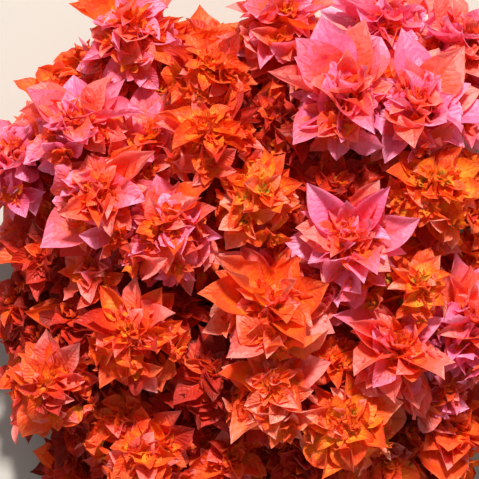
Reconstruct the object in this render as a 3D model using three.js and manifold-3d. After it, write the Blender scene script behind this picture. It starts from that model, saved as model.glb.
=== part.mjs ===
// A flowering bougainvillea bough, as cut. It lies on its underside: a woody stem with a flat cut
// runs in from +X, side boughs fork off it, and close-set double blooms on thin stalks make a low
// dome over them. Each bloom is a rosette of pointed, papery bracts in whorls of three.
// Millimetres, +Z up, the floor at z = 0, and the dome's top is seen from +Z.
import * as THREE from "three";
import { mergeVertices } from "three/addons/utils/BufferGeometryUtils.js";
import Module from "manifold-3d";

const { degToRad } = THREE.MathUtils;
const GOLDEN_TURN = Math.PI * (3 - Math.sqrt(5));
const UP = new THREE.Vector3(0, 0, 1);
const SUN = new THREE.Vector3(0, 1, 0);
const WELD = 1e-4; // corners closer than this are one
const GAP = 0.3; // clearance where one piece meets another
const LIMB_CUT = 1.5 * GAP; // clearance cut round a many-sided limb

// All places below are laid out round this point, which ends up over the origin.
const MIDDLE = new THREE.Vector3(36.3, -3.6, 0.6);

// The dome that the blooms' centres lie on, with a squarish plan.
const DOME = { x: 4, y: 0, across: 120, along: 119, rise: 58, foot: 36, square: 3.2 };
const BLOOM_COUNT = 50;
const LEADER_LIFT = 13; // leading blooms stand out of the dome, and the others lie under it
const FILLER_DROP = 13;
const SPOT_COUNT = 420; // places tried for the blooms that fill in between the leading ones
const STEEPNESS = 0.6; // how much a difference in height counts when those are chosen
const SKYWARD = 0.9; // how far a bloom turns up from the dome's own slope
const SUNWARD = 1.2; // how far it turns to the sun, which stood over +Y
const STRAY = 0.5; // how far it leans off by chance

// The blooms that lead the look: name, place across and up the plan, tone, length of a bract.
const LEADERS = [
  ["upper_left", -54, 107, "coral", 39],
  ["upper_middle", -16, 86, "orange", 30],
  ["left_high", -79, 57, "pink", 41],
  ["left_edge", -107, 44, "pink", 38],
  ["left_low", -65, 25, "coral", 41],
  ["middle_left", -13, 53, "orange", 34],
  ["inner_left", -35, 11, "coral", 36],
  ["inner_middle", 9, 25, "amber", 31],
  ["crest", 51, 75, "coral", 43],
  ["upper_right", 88, 69, "pink", 43],
  ["right_side", 96, 31, "amber", 32],
  ["heart", 54, 2, "pink", 39],
  ["centre", 15, -31, "salmon", 43],
  ["lower_right", 75, -53, "coral", 40],
  ["green_eye", 83, -21, "amber", 28],
  ["far_right", 112, -41, "pink", 41],
  ["low_left", -89, -66, "orange", 31],
  ["low_inner", -51, -42, "orange", 34],
  ["low_centre", 17, -69, "salmon", 36],
  ["bottom", 53, -84, "amber", 36],
  ["bottom_left", -44, -100, "orange", 34],
  ["bottom_right", 101, -95, "salmon", 39],
  ["top_middle", 22, 110, "salmon", 38],
  ["top_right", 75, 112, "pink", 39],
  ["top_corner", 110, 104, "pink", 38],
];
const FILLER_BRACT = 39;
// The tone of a bloom that fills in, beside one of each tone.
const FILLER_TONES = { pink: "coral", coral: "orange", salmon: "orange", orange: "deep", amber: "orange" };

// The main stem, as the four handles of a cubic curve from the cut to the tip.
const STEM = {
  path: [[214, -40, 7.6], [128, -27, 5], [27, -6, 26], [-68, 11, 38]],
  foot: 7, // radius at the cut, and at the tip
  head: 3,
  sides: 10,
  steps: 14,
};

// Side boughs: name, share of the stem's length where it forks off, place of the tip in plan.
const SIDE_BOUGHS = [
  ["bough_upper_left", 0.86, -71, 89],
  ["bough_upper_middle", 0.62, -13, 84],
  ["bough_crest", 0.42, 49, 77],
  ["bough_upper_right", 0.25, 99, 68],
  ["bough_left", 0.97, -97, 22],
  ["bough_low_left", 0.9, -82, -68],
  ["bough_low_inner", 0.7, -29, -73],
  ["bough_low_centre", 0.5, 31, -73],
  ["bough_lower_right", 0.3, 89, -77],
];
const BOUGH = {
  foot: 3.1,
  head: 1.7,
  sides: 6,
  steps: 8,
  reach: 0.6, // height of the tip over the dome's there
  bendAt: 0.4, // where it bends, how far that lies ahead along the stem, and how high
  ahead: 0.175,
  climb: 0.25,
};
const STALK = {
  foot: 1.35,
  head: 1.1,
  sides: 3,
  steps: 4,
  below: 30, // it leaves the bough at the place nearest to this far under its bloom
  feet: [0.45, 0.55, 0.65, 0.75, 0.85, 0.95, 0.995], // shares of a bough's length that are tried
  leave: 0.3,
  arrive: 0.5,
  lowest: 6,
};

// One bloom: whorls of three bracts, from the outer, lowest whorl (first value) to the top one.
const WHORLS = 4;
const BRACT = {
  whorlTurn: 60, // degrees from one whorl to the next
  pitch: [97, 28], // degrees from the bloom's own axis
  bend: [26, -16], // degrees along a bract, outward where positive
  shrink: [1, 0.55],
  pitchEase: 1.2, // powers of the whorl's share, so that the outer whorls stay open and long
  shrinkEase: 2,
  seat: [-12, 6], // along the axis, from the bloom's centre
  seatRadius: 3.6, // from that axis, sunk in the core
  broad: 0.84, // width over length
  widest: 0.44, // share of the length where it is widest
  fold: 0.16, // how far the edges rise beside the midrib
  thick: 0.75,
};
const SPREAD = { turn: 0.3, pitch: 14, bend: 24, twist: 0.5, length: 0.16 }; // range left to chance
const LEAST_BEND = 1e-3; // radians, as a bract is worked out from its bend
const CUT_BACK = { tries: 14, length: 0.96, pitch: 0.985 }; // for a bract that lacks room
const CORE = { foot: 6.4, head: 5.4, height: 22, drop: 3, sides: 6 };

const CELL_GAP = 0.8; // between the spaces of two blooms
const LIMB_GAP = 2.4; // kept by a bract's points to a limb or to another bloom's stalk
const FLOOR_GAP = 0.6;
const NEAR = 1.7; // what lies further off than this many bract lengths can't be touched
const ROD_STEP = 5; // between the places that stand for a limb

const TONES = {
  pink: 0xe8578c,
  coral: 0xee5a4c,
  salmon: 0xf07a56,
  orange: 0xee4d1c,
  amber: 0xf2801f,
  deep: 0xc22a16,
};
const PAPERY = 0.6; // roughness
const BARK = { color: 0x7a6450, roughness: 0.85 };

const mix = (a, b, share) => a + (b - a) * share;
const point = (p) => new THREE.Vector3(...p);

// A row of even draws between 0 and 1, the same for the same seed.
function draws(seed) {
  const prime = 2147483647;
  let state = (seed * 7919 + 12345) % prime;
  return () => {
    state = (state * 48271) % prime;
    return state / prime;
  };
}

const wasm = await Module();
wasm.setup();

function solidOf(geometry) {
  const bare = geometry.clone();
  bare.deleteAttribute("normal");
  bare.deleteAttribute("uv");
  const merged = mergeVertices(bare, WELD);
  const vertProperties = new Float32Array(merged.attributes.position.array);
  const triVerts = new Uint32Array(merged.index.array);
  return new wasm.Manifold(new wasm.Mesh({ numProp: 3, vertProperties, triVerts }));
}

// The largest body of a solid, without any loose scraps.
function whole(solid) {
  return solid.decompose().reduce((best, body) => (body.volume() > best.volume() ? body : best));
}

function meshOf(name, solid, look, origin = new THREE.Vector3()) {
  const { vertProperties, triVerts, numProp } = solid.getMesh();
  const geometry = new THREE.BufferGeometry();
  const places = new THREE.InterleavedBuffer(new Float32Array(vertProperties), numProp);
  geometry.setAttribute("position", new THREE.InterleavedBufferAttribute(places, 3, 0));
  geometry.setIndex(new THREE.BufferAttribute(new Uint32Array(triVerts), 1));
  geometry.translate(-origin.x, -origin.y, -origin.z);
  const mesh = new THREE.Mesh(geometry, new THREE.MeshStandardMaterial({ metalness: 0, ...look }));
  mesh.name = name;
  mesh.position.copy(origin);
  return mesh;
}

// A round limb along a curve, tapering evenly, and cut square to X at its foot where cutX is given.
function limb(curve, { foot, head, sides, steps }, grow, cutX) {
  const geometry = new THREE.CylinderGeometry(head + grow, foot + grow, 1, sides, steps);
  const frames = curve.computeFrenetFrames(steps, false);
  const places = geometry.attributes.position;
  for (let i = 0; i < places.count; i++) {
    const step = Math.round((places.getY(i) + 0.5) * steps);
    const place = curve
      .getPointAt(step / steps)
      .addScaledVector(frames.binormals[step], places.getX(i))
      .addScaledVector(frames.normals[step], places.getZ(i));
    if (step === 0 && cutX !== undefined) {
      const along = frames.tangents[0];
      place.addScaledVector(along, (cutX - place.x) / along.x);
      place.x = cutX;
    }
    places.setXYZ(i, place.x, place.y, place.z);
  }
  return solidOf(geometry);
}

// How high the dome is over a place in plan, from 0 at its rim to 1 at its top.
function domeCap(x, y) {
  const across = Math.abs((x - DOME.x) / DOME.across) ** DOME.square;
  const along = Math.abs((y - DOME.y) / DOME.along) ** DOME.square;
  return Math.sqrt(Math.max(0, 1 - across - along));
}

function domePlace(x, y) {
  return new THREE.Vector3(x, y, DOME.foot + DOME.rise * domeCap(x, y));
}

// The way out of the dome at a place, turned up and towards the sun.
function domeFace(x, y, draw) {
  const slope = (offset, half) =>
    (Math.sign(offset) * Math.abs(offset / half) ** (DOME.square - 1) * DOME.square) / half;
  const out = new THREE.Vector3(
    slope(x - DOME.x, DOME.across),
    slope(y - DOME.y, DOME.along),
    (2 * domeCap(x, y)) / DOME.rise,
  ).normalize();
  const stray = new THREE.Vector3(draw() - 0.5, draw() - 0.5, draw() - 0.5);
  out.addScaledVector(UP, SKYWARD).addScaledVector(SUN, SUNWARD);
  return out.addScaledVector(stray, STRAY).normalize();
}

// Even places over the whole dome, from its top down to its rim.
function domeSpots() {
  const bulge = (value) => Math.sign(value) * Math.abs(value) ** (2 / DOME.square);
  return Array.from({ length: SPOT_COUNT }, (_, i) => {
    const height = 1 - (i + 0.5) / SPOT_COUNT;
    const ring = (1 - height * height) ** (1 / DOME.square);
    const turn = i * GOLDEN_TURN;
    const x = DOME.x + DOME.across * ring * bulge(Math.cos(turn));
    const y = DOME.y + DOME.along * ring * bulge(Math.sin(turn));
    return domePlace(x, y);
  });
}

// The leading blooms, then others one by one at the spot that is furthest from all so far.
function placeBlooms() {
  const blooms = LEADERS.map(([name, x, y, tone, length]) => ({
    name: "bloom_" + name,
    spot: domePlace(x, y),
    lift: LEADER_LIFT,
    tone,
    length,
  }));
  const spots = domeSpots();
  const squash = new THREE.Vector3(1, 1, STEEPNESS);
  const apart = (spot, bloom) => bloom.spot.clone().sub(spot).multiply(squash).length();
  const room = (spot) => Math.min(...blooms.map((bloom) => apart(spot, bloom)));
  while (blooms.length < BLOOM_COUNT) {
    const spot = spots.reduce((best, next) => (room(next) > room(best) ? next : best));
    const nearest = blooms.reduce((best, next) =>
      apart(spot, next) < apart(spot, best) ? next : best,
    );
    const number = String(blooms.length - LEADERS.length + 1).padStart(2, "0");
    blooms.push({
      name: "bloom_filling_" + number,
      spot,
      lift: -FILLER_DROP,
      tone: FILLER_TONES[nearest.tone] ?? "deep",
      length: FILLER_BRACT,
    });
  }
  blooms.forEach((bloom, i) => {
    bloom.draw = draws(i + 1);
    bloom.face = domeFace(bloom.spot.x, bloom.spot.y, bloom.draw);
    bloom.centre = bloom.spot.clone().addScaledVector(bloom.face, bloom.lift);
    bloom.turn = bloom.draw() * Math.PI * 2;
  });
  return blooms;
}

// The walls between a bloom's space and its neighbours', each as a direction and a distance.
function spaceOf(bloom, blooms) {
  return blooms
    .filter((other) => other !== bloom)
    .map((other) => {
      const way = other.centre.clone().sub(bloom.centre);
      const share = bloom.length / (bloom.length + other.length);
      return { reach: share * way.length() - CELL_GAP / 2, way: way.normalize() };
    })
    .filter((wall) => wall.reach < bloom.length * NEAR);
}

// The direction square to a bloom's axis at a turn round it.
function sideways(face, turn) {
  const aside = Math.abs(face.y) < 0.9 ? new THREE.Vector3(0, 1, 0) : new THREE.Vector3(1, 0, 0);
  const first = face.clone().cross(aside).normalize();
  const second = face.clone().cross(first);
  return first.multiplyScalar(Math.cos(turn)).addScaledVector(second, Math.sin(turn));
}

// A bract's half width over its greatest one.
function outline(share) {
  return Math.min(share / BRACT.widest, (1 - share) / (1 - BRACT.widest));
}

// The bract's point at a share of its length, and at a side from -1 to 1, edge to edge.
function bractPoint(bract, share, side) {
  const angle = bract.pitch + bract.bend * share;
  const out = (bract.length * (Math.cos(bract.pitch) - Math.cos(angle))) / bract.bend;
  const rise = (bract.length * (Math.sin(angle) - Math.sin(bract.pitch))) / bract.bend;
  const upper = bract.face.clone().multiplyScalar(Math.sin(angle));
  upper.addScaledVector(bract.radial, -Math.cos(angle));
  const across = bract.face.clone().cross(bract.radial).multiplyScalar(Math.cos(bract.twist));
  across.addScaledVector(upper, Math.sin(bract.twist));
  const half = (bract.length * BRACT.broad * outline(share)) / 2;
  const place = bract.seat
    .clone()
    .addScaledVector(bract.radial, out)
    .addScaledVector(bract.face, rise)
    .addScaledVector(across, half * side)
    .addScaledVector(upper, BRACT.fold * half * Math.abs(side));
  return { place, upper };
}

// Whether a bract stays over the floor, within its bloom's space and clear of the limbs.
function hasRoom(bract, bloom, walls, rods) {
  const sample = [[0, 0], [1, 0]];
  for (const share of [BRACT.widest, (1 + BRACT.widest) / 2])
    for (const side of [-1, 0, 1]) sample.push([share, side]);
  return sample.every(([share, side]) => {
    const { place } = bractPoint(bract, share, side);
    const offset = place.clone().sub(bloom.centre);
    return (
      place.z > FLOOR_GAP &&
      walls.every((wall) => offset.dot(wall.way) < wall.reach) &&
      rods.every((rod) => place.distanceTo(rod.place) > rod.radius + LIMB_GAP)
    );
  });
}

// One bract of the bloom's rule, cut back to the room it has, or nothing.
function growBract(bloom, index, walls, rods) {
  const { draw, face } = bloom;
  const chance = (range) => (draw() - 0.5) * range;
  const whorl = Math.floor(index / 3);
  const inward = whorl / (WHORLS - 1);
  const turn = bloom.turn + degToRad(whorl * BRACT.whorlTurn + index * 120) + chance(SPREAD.turn);
  const radial = sideways(face, turn);
  const bract = {
    face,
    radial,
    pitch: degToRad(mix(...BRACT.pitch, inward ** BRACT.pitchEase) + chance(SPREAD.pitch)),
    bend: degToRad(mix(...BRACT.bend, inward) + chance(SPREAD.bend)) || LEAST_BEND,
    twist: chance(SPREAD.twist),
    length:
      bloom.length *
      mix(...BRACT.shrink, inward ** BRACT.shrinkEase) *
      (1 + chance(SPREAD.length)),
    seat: bloom.centre
      .clone()
      .addScaledVector(face, mix(...BRACT.seat, inward))
      .addScaledVector(radial, BRACT.seatRadius),
  };
  for (let tries = 0; tries < CUT_BACK.tries; tries++) {
    if (hasRoom(bract, bloom, walls, rods)) return bract;
    bract.length *= CUT_BACK.length;
    bract.pitch *= CUT_BACK.pitch;
  }
  return null;
}

// A bract as a thin closed solid of eight faces, folded along its midrib.
function bractSolid(bract) {
  const at = (share, side) => bractPoint(bract, share, side).place;
  const { place: middle, upper } = bractPoint(bract, BRACT.widest, 0);
  const below = middle.clone().addScaledVector(upper, -BRACT.thick);
  const corners = [at(0, 0), at(BRACT.widest, 1), middle, at(BRACT.widest, -1), below, at(1, 0)];
  const geometry = new THREE.BufferGeometry().setFromPoints(corners);
  const above = [0, 2, 1, 0, 3, 2, 2, 5, 1, 3, 5, 2];
  const under = [0, 1, 4, 0, 4, 3, 4, 1, 5, 3, 4, 5];
  geometry.setIndex([...above, ...under]);
  return solidOf(geometry);
}

// The short post in the middle of a bloom that its bracts grow from, each out of a side of its own.
function coreSolid({ face, centre, turn }) {
  const geometry = new THREE.CylinderGeometry(CORE.head, CORE.foot, CORE.height, CORE.sides);
  const side = sideways(face, turn + Math.PI / CORE.sides);
  geometry.applyMatrix4(new THREE.Matrix4().makeBasis(face.clone().cross(side), face, side));
  const seat = centre.clone().addScaledVector(face, -CORE.drop);
  geometry.translate(seat.x, seat.y, seat.z);
  return solidOf(geometry);
}

// A side bough leaves the stem forwards and low, and rises to its tip inside the dome.
function boughCurve([, fork, x, y], stem) {
  const foot = stem.getPointAt(fork);
  const tip = new THREE.Vector3(x, y, BOUGH.reach * domePlace(x, y).z);
  const bend = foot.clone().lerp(tip, BOUGH.bendAt);
  bend.addScaledVector(stem.getTangentAt(fork), BOUGH.ahead * foot.distanceTo(tip));
  bend.z = mix(foot.z, tip.z, BOUGH.climb);
  return new THREE.QuadraticBezierCurve3(foot, bend, tip);
}

// The stalk that carries a bloom, from the nearest place on a limb's outer part.
function stalkCurve({ centre, face }, limbs) {
  const below = centre.clone().addScaledVector(face, -STALK.below);
  const feet = limbs.flatMap((curve) =>
    STALK.feet.map((share) => ({ place: curve.getPointAt(share), ahead: curve.getTangentAt(share) })),
  );
  const foot = feet.reduce((best, next) =>
    next.place.distanceTo(below) < best.place.distanceTo(below) ? next : best,
  );
  const span = foot.place.distanceTo(centre);
  const leave = foot.place.clone().addScaledVector(foot.ahead, STALK.leave * span);
  const arrive = centre.clone().addScaledVector(face, -STALK.arrive * span);
  arrive.z = Math.max(arrive.z, STALK.lowest);
  return new THREE.CubicBezierCurve3(foot.place, leave, arrive, centre);
}

// Places along a limb, with its radius there, which bracts keep clear of.
function rodsAlong(curve, { foot, head }) {
  const count = Math.ceil(curve.getLength() / ROD_STEP);
  return Array.from({ length: count + 1 }, (_, i) => ({
    place: curve.getPointAt(i / count),
    radius: mix(foot, head, i / count),
  }));
}

const bush = new THREE.Group();
bush.name = "flowering_bough";
bush.position.copy(MIDDLE).negate();

const stem = new THREE.CubicBezierCurve3(...STEM.path.map(point));
const stemSolid = (grow) => limb(stem, STEM, grow, STEM.path[0][0]);
bush.add(meshOf("main_stem", stemSolid(0), BARK));

const boughs = SIDE_BOUGHS.map((row) => boughCurve(row, stem));
const aroundStem = stemSolid(LIMB_CUT);
SIDE_BOUGHS.forEach(([name], i) => {
  bush.add(meshOf(name, whole(limb(boughs[i], BOUGH, 0).subtract(aroundStem)), BARK));
});

const blooms = placeBlooms();
const stalks = blooms.map((bloom) => stalkCurve(bloom, [...boughs, stem]));
const limbRods = [rodsAlong(stem, STEM), ...boughs.map((curve) => rodsAlong(curve, BOUGH))].flat();
const stalkRods = stalks.map((curve) => rodsAlong(curve, STALK));
const aroundLimbs = boughs.reduce((sum, curve) => sum.add(limb(curve, BOUGH, LIMB_CUT)), aroundStem);

// Each bloom is its core, its bracts and its stalk, cut clear of the limbs and of all other stalks.
let aroundPlaced = aroundLimbs;
blooms.forEach((bloom, i) => {
  const walls = spaceOf(bloom, blooms);
  const otherStalks = stalkRods.filter((_, j) => j !== i).flat();
  const rods = [...limbRods, ...otherStalks].filter(
    (rod) => rod.place.distanceTo(bloom.centre) < bloom.length * NEAR,
  );
  let rosette = coreSolid(bloom);
  for (let index = 0; index < 3 * WHORLS; index++) {
    const bract = growBract(bloom, index, walls, rods);
    if (bract) rosette = rosette.add(bractSolid(bract));
  }
  stalks.forEach((curve, j) => {
    if (j !== i) rosette = rosette.subtract(limb(curve, STALK, GAP));
  });
  const stalk = limb(stalks[i], STALK, 0).subtract(aroundPlaced);
  aroundPlaced = aroundPlaced.add(limb(stalks[i], STALK, LIMB_CUT));
  const solid = whole(rosette.subtract(aroundLimbs).add(stalk));
  const look = { color: TONES[bloom.tone], roughness: PAPERY };
  bush.add(meshOf(bloom.name, solid, look, bloom.centre));
});

export default bush;
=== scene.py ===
import math

import bpy
import numpy as np
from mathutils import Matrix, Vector


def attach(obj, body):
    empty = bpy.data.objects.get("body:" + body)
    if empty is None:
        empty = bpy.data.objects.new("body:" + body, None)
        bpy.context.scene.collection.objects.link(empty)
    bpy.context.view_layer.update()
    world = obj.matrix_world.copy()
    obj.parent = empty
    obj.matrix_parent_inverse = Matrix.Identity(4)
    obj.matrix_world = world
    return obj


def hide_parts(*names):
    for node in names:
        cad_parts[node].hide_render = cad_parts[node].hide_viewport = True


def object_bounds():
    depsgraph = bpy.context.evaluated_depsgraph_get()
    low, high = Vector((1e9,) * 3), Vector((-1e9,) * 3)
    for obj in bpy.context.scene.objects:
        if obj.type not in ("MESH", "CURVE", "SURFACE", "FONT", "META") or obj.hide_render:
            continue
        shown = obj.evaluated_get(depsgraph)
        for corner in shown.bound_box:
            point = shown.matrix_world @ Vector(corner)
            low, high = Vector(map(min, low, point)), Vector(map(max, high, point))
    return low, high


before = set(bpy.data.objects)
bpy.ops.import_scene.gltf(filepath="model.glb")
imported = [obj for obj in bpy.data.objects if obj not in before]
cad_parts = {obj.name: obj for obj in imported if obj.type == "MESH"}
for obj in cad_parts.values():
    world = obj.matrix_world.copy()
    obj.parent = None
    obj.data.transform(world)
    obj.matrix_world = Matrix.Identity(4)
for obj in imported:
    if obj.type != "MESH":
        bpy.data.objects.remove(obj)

cad_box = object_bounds()

MILLIMETRE = 0.001
PICTURE = 479  # side of the photograph in pixels
PIXEL = 0.5  # millimetres at the blooms
UP = np.array([0.0, 0.0, 1.0])
SUN = np.array([0.0, 1.0, 0.0])
FULL_TURN = 2 * math.pi
GOLDEN_TURN = math.pi * (3 - math.sqrt(5))
SEEDS = {"blooms": 1000, "under": 300, "raised": 900, "limbs": 7, "stalks": 11, "leaves": 23}

# The rule's sizes, as in the part's source.
MIDDLE = np.array([36.3, -3.6, 0.6])
DOME = {"x": 4, "y": 0, "across": 120, "along": 119, "rise": 58, "foot": 36, "square": 3.2}
BLOOM_COUNT = 50
LEADER_LIFT = 13
FILLER_DROP = 13
SPOT_COUNT = 420
STEEPNESS = 0.6
SKYWARD = 0.9  # how far a bloom turns up from the dome's own slope
SUNWARD = 1.2  # how far it turns to the sun
STRAY = 0.5
LEADERS = [
    ("upper_left", -54, 107, "coral", 39),
    ("upper_middle", -16, 86, "orange", 30),
    ("left_high", -79, 57, "pink", 41),
    ("left_edge", -107, 44, "pink", 38),
    ("left_low", -65, 25, "coral", 41),
    ("middle_left", -13, 53, "orange", 34),
    ("inner_left", -35, 11, "coral", 36),
    ("inner_middle", 9, 25, "amber", 31),
    ("crest", 51, 75, "coral", 43),
    ("upper_right", 88, 69, "pink", 43),
    ("right_side", 96, 31, "amber", 32),
    ("heart", 54, 2, "pink", 39),
    ("centre", 15, -31, "salmon", 43),
    ("lower_right", 75, -53, "coral", 40),
    ("green_eye", 83, -21, "amber", 28),
    ("far_right", 112, -41, "pink", 41),
    ("low_left", -89, -66, "orange", 31),
    ("low_inner", -51, -42, "orange", 34),
    ("low_centre", 17, -69, "salmon", 36),
    ("bottom", 53, -84, "amber", 36),
    ("bottom_left", -44, -100, "orange", 34),
    ("bottom_right", 101, -95, "salmon", 39),
    ("top_middle", 22, 110, "salmon", 38),
    ("top_right", 75, 112, "pink", 39),
    ("top_corner", 110, 104, "pink", 38),
]
FILLER_BRACT = 39
# Fillers sit lower, between the leading blooms, and take a deeper tone than the nearest one's, and the deep
# tone beside an orange one: partly painted shade.
LAST_TONE = "deep"
FILLER_TONES = {"pink": "coral", "coral": "orange", "salmon": "orange", "amber": "orange"}
STEM_PATH = [(214, -40, 7.6), (128, -27, 5), (27, -6, 26), (-68, 11, 38)]
STEM = {"foot": 7, "head": 3}
SIDE_BOUGHS = [
    ("bough_upper_left", 0.86, -71, 89),
    ("bough_upper_middle", 0.62, -13, 84),
    ("bough_crest", 0.42, 49, 77),
    ("bough_upper_right", 0.25, 99, 68),
    ("bough_left", 0.97, -97, 22),
    ("bough_low_left", 0.9, -82, -68),
    ("bough_low_inner", 0.7, -29, -73),
    ("bough_low_centre", 0.5, 31, -73),
    ("bough_lower_right", 0.3, 89, -77),
]
BOUGH = {"foot": 3.1, "head": 1.7, "reach": 0.6, "bend_at": 0.4, "ahead": 0.175, "climb": 0.25}
STALK = {"foot": 1.35, "head": 1.1, "below": 30, "leave": 0.3, "arrive": 0.5, "lowest": 6}
STALK_FEET = [0.45, 0.55, 0.65, 0.75, 0.85, 0.95, 0.995]
WHORLS = 4
IN_WHORL = 3
BRACT = {
    "whorl_turn": 60, "apart": 120, "pitch": (97, 28), "pitch_ease": 1.2, "bend": (26, -16),
    "shrink": (1, 0.55), "shrink_ease": 2, "seat": (-12, 6), "seat_radius": 3.6,
    "broad": 0.84, "widest": 0.44, "fold": 0.16,
}
SPREAD = {"turn": 0.3, "pitch": 14, "bend": 24, "twist": 0.5, "length": 0.16}
CUT_BACK = {"tries": 14, "length": 0.96, "pitch": 0.985, "curl": 0.8}
LEAST_BEND = 1e-3  # radians, as a bract is worked out from its bend
CELL_GAP = 0.8
LIMB_GAP = 2.4
FINE_LIMB_GAP = 1.0  # the same for the bracts that only this script makes
FLOOR_GAP = 0.6
NEAR = 1.7
ROD_STEP = 5

# Blooms whose bracts stay large and open. The others break up into many small rosettes.
LARGE_BLOOMS = {
    "crest", "upper_right", "heart", "centre", "lower_right",
    "far_right", "bottom_right", "top_right", "top_corner",
}
# Blooms that take their colours from another tone's blend than their solid's, to follow the photo.
BLEND_OF_BLOOM = {
    # The deep blend of filling_12, filling_14 and filling_20 and the orange blend of bottom_right are
    # painted shade on blooms in shadowed hollows; the salmon blend of filling_17 is painted light on a
    # bloom in the others' shadow.
    "filling_12": "deep", "filling_13": "coral", "filling_14": "deep", "filling_15": "orange",
    "filling_17": "salmon", "filling_18": "orange", "filling_20": "deep", "filling_21": "coral",
    "bottom_right": "orange", "crest": "pink", "top_middle": "coral",
}


def mix(pair, share):
    return pair[0] + (pair[1] - pair[0]) * share


def unit(vector):
    return vector / np.linalg.norm(vector)


# A chance amount, up to the reach either way.
def either_way(dice, reach):
    return dice.uniform(-reach, reach)


# A row of even draws between 0 and 1, the same as the source's for the same seed.
def draws(seed):
    prime = 2147483647
    state = (seed * 7919 + 12345) % prime
    while True:
        state = state * 48271 % prime
        yield state / prime


# A Bezier curve that is read by its share of the whole length.
class Curve:
    DIVISIONS = 200
    REACH = 0.0001

    def __init__(self, handles):
        self.handles = np.array(handles, float)
        self.turns = np.linspace(0, 1, self.DIVISIONS + 1)
        steps = np.linalg.norm(np.diff(self.raw(self.turns), axis=0), axis=1)
        self.lengths = np.concatenate([[0], np.cumsum(steps)])
        self.length = self.lengths[-1]

    def raw(self, t):
        t = np.atleast_1d(np.asarray(t, float))
        degree = len(self.handles) - 1
        place = np.zeros((len(t), 3))
        for i, handle in enumerate(self.handles):
            weight = math.comb(degree, i) * t**i * (1 - t) ** (degree - i)
            place += weight[:, None] * handle
        return place

    def turn_at(self, share):
        return np.interp(np.asarray(share) * self.length, self.lengths, self.turns)

    def at(self, share):
        return self.raw(self.turn_at(share))

    def tangents(self, share):
        t = np.atleast_1d(self.turn_at(share))
        ahead = self.raw(np.minimum(t + self.REACH, 1)) - self.raw(np.maximum(t - self.REACH, 0))
        return ahead / np.linalg.norm(ahead, axis=1)[:, None]


def dome_cap(x, y):
    across = abs((x - DOME["x"]) / DOME["across"]) ** DOME["square"]
    along = abs((y - DOME["y"]) / DOME["along"]) ** DOME["square"]
    return math.sqrt(max(0, 1 - across - along))


def dome_place(x, y):
    return np.array([x, y, DOME["foot"] + DOME["rise"] * dome_cap(x, y)])


def dome_face(x, y, draw):
    def slope(offset, half):
        return math.copysign(abs(offset / half) ** (DOME["square"] - 1), offset) * DOME["square"] / half

    across = slope(x - DOME["x"], DOME["across"])
    along = slope(y - DOME["y"], DOME["along"])
    out = unit(np.array([across, along, 2 * dome_cap(x, y) / DOME["rise"]]))
    stray = np.array([next(draw) - 0.5 for _ in range(3)])
    return unit(out + SKYWARD * UP + SUNWARD * SUN + STRAY * stray)


# Spots spread evenly over the dome, from its top down to its rim.
def dome_spots():
    def bulge(value):
        return math.copysign(abs(value) ** (2 / DOME["square"]), value)

    spots = []
    for i in range(SPOT_COUNT):
        height = 1 - (i + 0.5) / SPOT_COUNT
        ring = (1 - height * height) ** (1 / DOME["square"])
        turn = i * GOLDEN_TURN
        x = DOME["x"] + DOME["across"] * ring * bulge(math.cos(turn))
        y = DOME["y"] + DOME["along"] * ring * bulge(math.sin(turn))
        spots.append(dome_place(x, y))
    return np.array(spots)


def bloom_at(name, spot, lift, tone, length):
    return {"name": name, "spot": spot, "lift": lift, "tone": tone, "length": length}


# The leading blooms, then others one by one at the spot that is furthest from all so far.
def place_blooms():
    blooms = [
        bloom_at(name, dome_place(x, y), LEADER_LIFT, tone, length) for name, x, y, tone, length in LEADERS
    ]
    spots = dome_spots()
    squash = np.array([1, 1, STEEPNESS])
    while len(blooms) < BLOOM_COUNT:
        taken = np.array([bloom["spot"] for bloom in blooms])
        apart = np.linalg.norm((spots[:, None] - taken[None]) * squash, axis=2)
        best = int(np.argmax(apart.min(axis=1)))
        nearest = blooms[int(np.argmin(apart[best]))]
        name = f"filling_{len(blooms) - len(LEADERS) + 1:02d}"
        tone = FILLER_TONES.get(nearest["tone"], LAST_TONE)
        blooms.append(bloom_at(name, spots[best], -FILLER_DROP, tone, FILLER_BRACT))
    for i, bloom in enumerate(blooms):
        bloom["style"] = "large" if bloom["name"] in LARGE_BLOOMS else "clustered"
        bloom["blend"] = BLEND_OF_BLOOM.get(bloom["name"], bloom["tone"])
        bloom["draw"] = draws(i + 1)
        bloom["face"] = dome_face(*bloom["spot"][:2], bloom["draw"])
        bloom["centre"] = bloom["spot"] + bloom["face"] * bloom["lift"]
        bloom["turn"] = next(bloom["draw"]) * FULL_TURN
    return blooms


# The walls between a bloom's space and its neighbours', as directions and distances.
def space_of(bloom, blooms):
    ways, reaches = [], []
    for other in blooms:
        if other is bloom:
            continue
        way = other["centre"] - bloom["centre"]
        apart = np.linalg.norm(way)
        reach = bloom["length"] / (bloom["length"] + other["length"]) * apart - CELL_GAP / 2
        if reach < bloom["length"] * NEAR:
            ways.append(way / apart)
            reaches.append(reach)
    return np.array(ways), np.array(reaches)


# The direction square to an axis, at a turn round it.
def sideways(face, turn):
    aside = np.array([0.0, 1.0, 0.0]) if abs(face[1]) < 0.9 else np.array([1.0, 0.0, 0.0])
    first = unit(np.cross(face, aside))
    second = np.cross(face, first)
    return first * math.cos(turn) + second * math.sin(turn)


def bough_curve(row, stem):
    _, fork, x, y = row
    foot = stem.at(fork)[0]
    tip = np.array([x, y, BOUGH["reach"] * dome_place(x, y)[2]])
    bend = foot + (tip - foot) * BOUGH["bend_at"]
    bend = bend + stem.tangents(fork)[0] * BOUGH["ahead"] * np.linalg.norm(tip - foot)
    bend[2] = mix((foot[2], tip[2]), BOUGH["climb"])
    return Curve([foot, bend, tip])


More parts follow.
